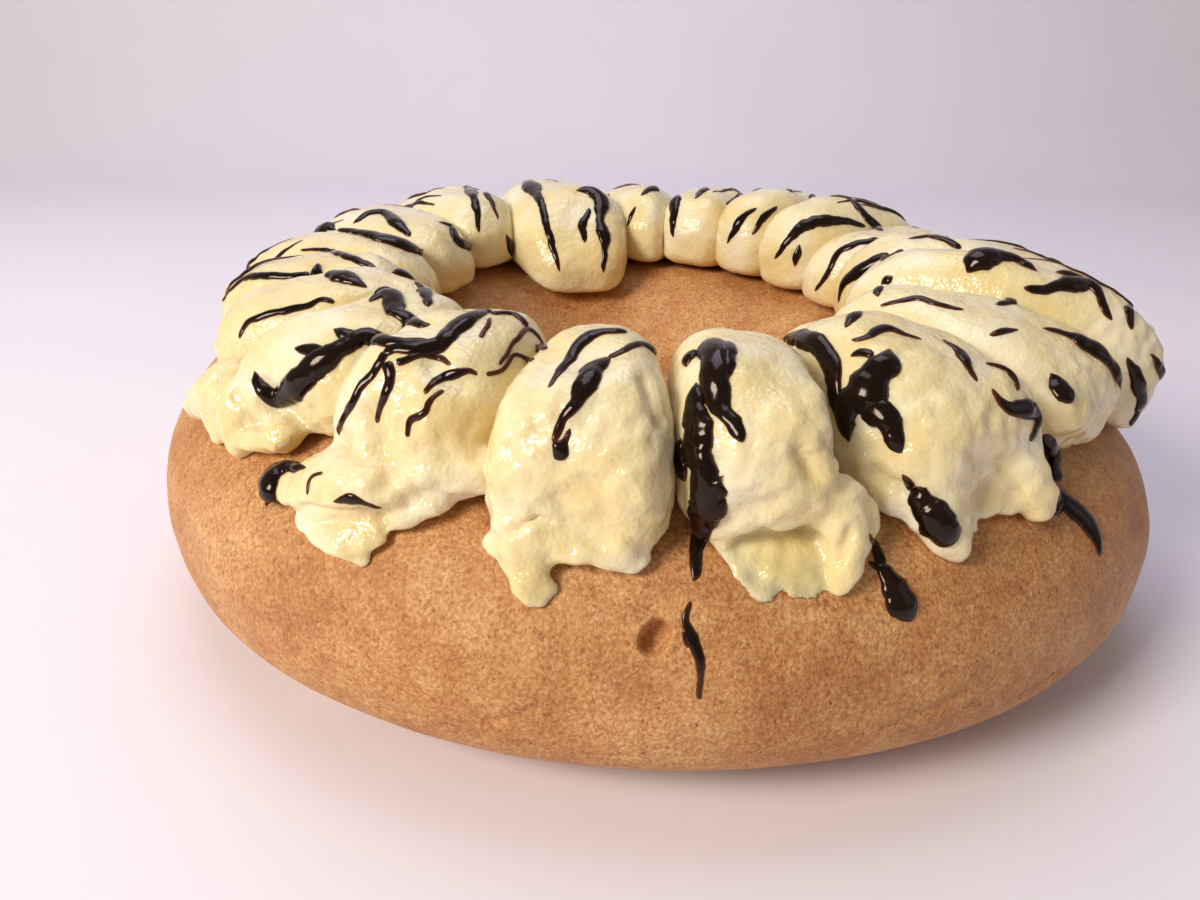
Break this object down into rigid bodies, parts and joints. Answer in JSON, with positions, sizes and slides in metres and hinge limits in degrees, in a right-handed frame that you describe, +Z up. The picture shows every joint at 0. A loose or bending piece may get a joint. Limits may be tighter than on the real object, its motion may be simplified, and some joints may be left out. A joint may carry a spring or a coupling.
{
  "type": "easter ring bread",
  "caption": "Fat smooth wholemeal ring loaf crowned with piped pastry cream dollops laid side by side under a thick dark chocolate drizzle",
  "frame": {"origin": "the middle of the loaf's base, on the surface it stands on", "axes": "+Z up; -Y towards the side that the picture shows in front; +X to that viewer's right"},
  "size_m": [0.2153, 0.2099, 0.0757],
  "materials": {
    "crust": "soft baked wholemeal crust, matte with a slight sheen",
    "cream": "moist pale yellow pastry cream",
    "chocolate": "glossy melted dark chocolate"
  },
  "bodies": {
    "root": {"bread": "crust", "cream_dollop_01": "cream", "cream_dollop_02": "cream", "cream_dollop_03": "cream", "cream_dollop_04": "cream", "cream_dollop_05": "cream", "cream_dollop_06": "cream", "cream_dollop_07": "cream", "cream_dollop_08": "cream", "cream_dollop_09": "cream", "cream_dollop_10": "cream", "cream_dollop_11": "cream", "cream_dollop_12": "cream", "cream_dollop_13": "cream", "cream_dollop_14": "cream", "cream_dollop_15": "cream", "cream_dollop_16": "cream", "cream_dollop_17": "cream", "cream_dollop_18": "cream", "cream_dollop_19": "cream"}
  },
  "joints": []
}
